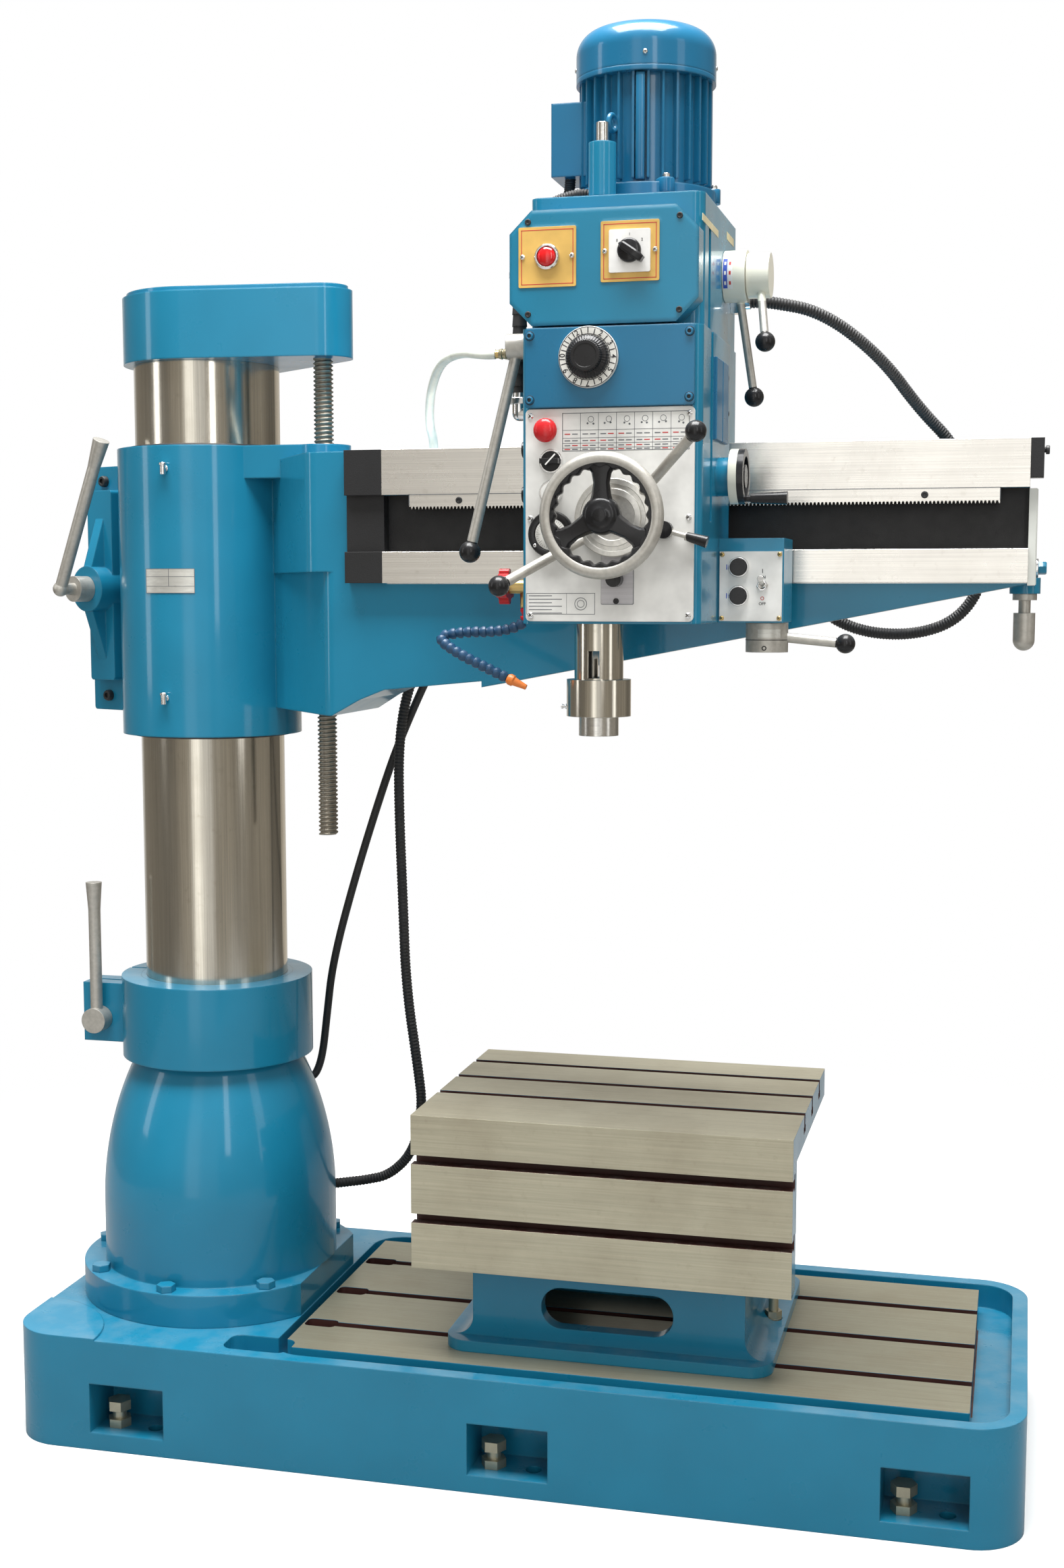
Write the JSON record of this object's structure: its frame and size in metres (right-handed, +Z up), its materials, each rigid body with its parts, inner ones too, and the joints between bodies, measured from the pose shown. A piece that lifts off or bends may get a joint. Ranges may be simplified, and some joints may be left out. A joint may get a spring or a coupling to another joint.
{
  "type": "radial arm drill",
  "caption": "Radial arm drilling machine: slotted base with box table, round swivelling column, power-raised arm, and a traversing geared head with quill feed.",
  "frame": {"origin": "on the floor under the column axis", "axes": "+X along the arm at rest, +Y away from the operator, +Z up the column"},
  "size_m": [1.4268, 0.855, 1.876],
  "materials": {
    "paint": "gloss",
    "iron": "machined",
    "steel": "ground",
    "satin": "satin",
    "chrome": "bright",
    "black": "satin",
    "blackened": "matte",
    "bronze": "cast",
    "red": "gloss",
    "panel": "satin",
    "hose": "matte",
    "locline": "satin"
  },
  "bodies": {
    "base": {"base_casting": "paint", "pedestal": "paint", "base_fasteners": "steel", "clamp_collar": "paint", "column_bushes": "bronze", "box_table": "paint"},
    "column_clamp": {"column_clamp_lever": "satin"},
    "column": {"column": "steel", "column_cap": "paint", "elevating_screw": "steel"},
    "arm": {"arm_casting": "paint", "traverse_rack": "steel", "way_stops": "blackened", "arm_handle": "satin", "arm_clamp_bracket": "paint", "arm_screws": "steel", "control_cabinet": "paint", "elevating_motor": "satin", "head_hoses": "hose", "column_conduits": "hose"},
    "elevating_nut": {"elevating_nut": "bronze"},
    "arm_clamp": {"arm_clamp_lever": "satin"},
    "head": {"head_casting": "paint", "front_panel": "panel", "upper_cover": "paint", "control_box": "paint", "lamp": "red", "panel_screws": "steel", "drive_motor": "paint", "fan_cover": "paint", "oil_cup": "paint", "elevation_box": "paint", "gear_cover": "satin", "conduit_fittings": "chrome", "coolant_valve": "bronze", "coolant_hose": "locline"},
    "motor_rotor": {"motor_rotor": "steel"},
    "quill": {"quill": "steel", "spindle_bearings": "steel"},
    "spindle": {"spindle": "steel"},
    "capstan": {"capstan": "satin"},
    "traverse_pinion": {"traverse_pinion": "steel"},
    "feed_handwheel": {"feed_handwheel": "satin"},
    "feed_lever": {"feed_lever": "black"},
    "speed_dial": {"speed_dial": "black"},
    "stop_button": {"stop_button": "red"},
    "feed_selector": {"feed_selector": "black"},
    "start_button": {"start_button": "steel"},
    "depth_dial": {"depth_dial": "black"},
    "depth_knob": {"depth_knob": "black"},
    "main_switch": {"main_switch": "black"},
    "up_button": {"up_button": "black"},
    "down_button": {"down_button": "black"},
    "elevation_toggle": {"elevation_toggle": "steel"},
    "outer_speed_lever": {"outer_speed_lever": "satin"},
    "inner_speed_lever": {"inner_speed_lever": "satin"},
    "traverse_wheel": {"traverse_wheel": "satin"},
    "head_lock_lever": {"head_lock_lever": "satin"},
    "range_lever": {"range_lever": "satin"},
    "valve_handle": {"valve_handle": "red"}
  },
  "joints": [
    {"name": "column_swivel", "type": "hinge", "parent": "base", "child": "column", "pos_m": [0, 0, 0], "axis": [0, 0, 1], "range_deg": [-90, 90]},
    {"name": "arm_elevation", "type": "slide", "parent": "column", "child": "arm", "axis": [0, 0, 1], "range_m": [-0.24, 0.11], "deforming": ["column_conduits"]},
    {"name": "elevating_nut_turn", "type": "hinge", "parent": "arm", "child": "elevating_nut", "pos_m": [0.202, -0.06, 1.378], "axis": [0, 0, 1], "continuous": true},
    {"name": "head_traverse", "type": "slide", "parent": "arm", "child": "head", "axis": [1, 0, 0], "range_m": [-0.15, 0.25], "deforming": ["head_hoses"]},
    {"name": "traverse_pinion_turn", "type": "hinge", "parent": "head", "child": "traverse_pinion", "pos_m": [0.7, -0.225, 1.3035], "axis": [0, 1, 0], "continuous": true},
    {"name": "traverse_wheel_turn", "type": "hinge", "parent": "head", "child": "traverse_wheel", "pos_m": [0.831, -0.34, 1.347], "axis": [1, 0, 0], "continuous": true},
    {"name": "quill_feed", "type": "slide", "parent": "head", "child": "quill", "axis": [0, 0, -1], "range_m": [0, 0.15]},
    {"name": "capstan_turn", "type": "hinge", "parent": "head", "child": "capstan", "pos_m": [0.709, -0.483, 1.294], "axis": [0, -1, 0], "range_deg": [-10, 550]},
    {"name": "spindle_turn", "type": "hinge", "parent": "quill", "child": "spindle", "pos_m": [0.665, -0.36, 1.034], "axis": [0, 0, 1], "continuous": true},
    {"name": "motor_turn", "type": "hinge", "parent": "head", "child": "motor_rotor", "pos_m": [0.711, -0.315, 1.76], "axis": [0, 0, 1], "continuous": true},
    {"name": "feed_wheel_turn", "type": "hinge", "parent": "head", "child": "feed_handwheel", "pos_m": [0.709, -0.554, 1.294], "axis": [0, -1, 0], "continuous": true},
    {"name": "feed_engage", "type": "hinge", "parent": "head", "child": "feed_lever", "pos_m": [0.766, -0.478, 1.28], "axis": [0, -1, 0], "range_deg": [-25, 25]},
    {"name": "speed_dial_turn", "type": "hinge", "parent": "head", "child": "speed_dial", "pos_m": [0.67657, -0.48, 1.47685], "axis": [0, -1, 0], "continuous": true},
    {"name": "stop_press", "type": "slide", "parent": "head", "child": "stop_button", "axis": [0, 1, 0], "range_m": [0, 0.003], "stiffness_N_per_m": 900},
    {"name": "start_press", "type": "slide", "parent": "head", "child": "start_button", "axis": [0, 1, 0], "range_m": [0, 0.003], "stiffness_N_per_m": 900},
    {"name": "feed_select", "type": "hinge", "parent": "head", "child": "feed_selector", "pos_m": [0.63141, -0.475, 1.35989], "axis": [0, -1, 0], "range_deg": [-45, 45]},
    {"name": "depth_dial_turn", "type": "hinge", "parent": "head", "child": "depth_dial", "pos_m": [0.63248, -0.475, 1.27601], "axis": [0, -1, 0], "continuous": true},
    {"name": "depth_knob_turn", "type": "hinge", "parent": "head", "child": "depth_knob", "pos_m": [0.70852, -0.475, 1.22383], "axis": [0, -1, 0], "continuous": true},
    {"name": "main_switch_turn", "type": "hinge", "parent": "head", "child": "main_switch", "pos_m": [0.72343, -0.48, 1.59508], "axis": [0, -1, 0], "range_deg": [-90, 0]},
    {"name": "up_press", "type": "slide", "parent": "head", "child": "up_button", "axis": [0, 1, 0], "range_m": [0, 0.003], "stiffness_N_per_m": 900},
    {"name": "down_press", "type": "slide", "parent": "head", "child": "down_button", "axis": [0, 1, 0], "range_m": [0, 0.003], "stiffness_N_per_m": 900},
    {"name": "toggle_flip", "type": "hinge", "parent": "head", "child": "elevation_toggle", "pos_m": [0.8609, -0.332, 1.21688], "axis": [1, 0, 0], "range_deg": [-20, 20]},
    {"name": "outer_speed_shift", "type": "hinge", "parent": "head", "child": "outer_speed_lever", "pos_m": [0.845, -0.271, 1.593], "axis": [1, 0, 0], "range_deg": [-30, 45]},
    {"name": "inner_speed_shift", "type": "hinge", "parent": "head", "child": "inner_speed_lever", "pos_m": [0.816, -0.271, 1.593], "axis": [1, 0, 0], "range_deg": [-45, 30]},
    {"name": "head_lock", "type": "hinge", "parent": "head", "child": "head_lock_lever", "pos_m": [0.8625, -0.296, 1.154], "axis": [0, 0, 1], "range_deg": [-40, 40]},
    {"name": "range_shift", "type": "hinge", "parent": "head", "child": "range_lever", "pos_m": [0.581, -0.43, 1.497], "axis": [1, 0, 0], "range_deg": [-20, 4]},
    {"name": "valve_turn", "type": "hinge", "parent": "head", "child": "valve_handle", "pos_m": [0.541, -0.34, 1.216], "axis": [1, 0, 0], "range_deg": [-270, 0]},
    {"name": "arm_clamp_turn", "type": "hinge", "parent": "arm", "child": "arm_clamp", "pos_m": [-0.20048, -0.01969, 1.214], "axis": [-0.3987, -0.9171, 0], "range_deg": [-3, 65]},
    {"name": "column_clamp_turn", "type": "hinge", "parent": "base", "child": "column_clamp", "pos_m": [-0.18, -0.041, 0.5656], "axis": [0, 1, 0], "range_deg": [-70, 4]}
  ],
  "couplings": [
    {"joint": "elevating_nut_turn", "follows": "arm_elevation", "rad_per_m": 1047.2},
    {"joint": "traverse_pinion_turn", "follows": "head_traverse", "rad_per_m": -66.667},
    {"joint": "traverse_wheel_turn", "follows": "head_traverse", "rad_per_m": 66.667},
    {"joint": "capstan_turn", "follows": "quill_feed", "rad_per_m": 62.5},
    {"joint": "motor_turn", "follows": "spindle_turn", "ratio": 3}
  ]
}
